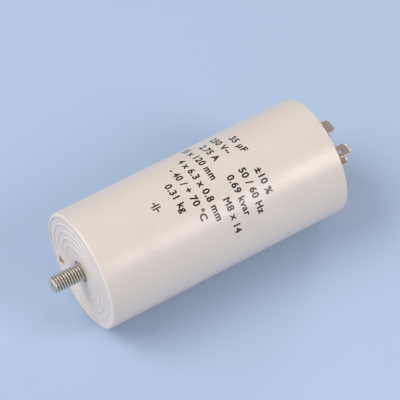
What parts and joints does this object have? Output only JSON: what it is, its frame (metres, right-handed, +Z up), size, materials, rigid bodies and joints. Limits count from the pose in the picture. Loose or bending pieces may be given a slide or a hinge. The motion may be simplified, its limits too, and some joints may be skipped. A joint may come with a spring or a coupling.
{
  "type": "motor run capacitor",
  "caption": "Round white plastic can holding a wound film roll in resin, with a threaded mounting stud at one end and double push-on blade terminals at the other, for running a motor.",
  "frame": {"origin": "where the can's axis meets the seating rim of the stud end", "axes": "+X along the can's axis towards the blades, with the stud pointing to -X; +Z up as the can lies in the picture"},
  "size_m": [0.1492, 0.055, 0.055],
  "materials": {
    "case_plastic": "satin warm white",
    "zinc_plate": "zinc plated",
    "tin_plate": "dull tin plate",
    "rivet_metal": "nickel plated",
    "core_plastic": "plain",
    "metallised_film": "silvery",
    "clear_film": "glossy",
    "zinc_spray": "rough sprayed",
    "tinned_wire": "tinned",
    "sleeve_plastic": "yellow",
    "solder": "bright",
    "resin": "amber"
  },
  "bodies": {
    "root": {"case": "case_plastic", "lid": "case_plastic", "mounting_stud": "zinc_plate", "terminal_left": "tin_plate", "terminal_right": "tin_plate", "rivet_left": "rivet_metal", "rivet_right": "rivet_metal", "solder_tag_left": "tin_plate", "solder_tag_right": "tin_plate", "winding_core": "core_plastic", "film_winding": "metallised_film", "outer_wrap": "clear_film", "end_spray_lower": "zinc_spray", "end_spray_upper": "zinc_spray", "lead_long": "tinned_wire", "lead_short": "tinned_wire", "lead_sleeve": "sleeve_plastic", "solder_joints": "solder", "potting_resin": "resin"}
  },
  "joints": []
}
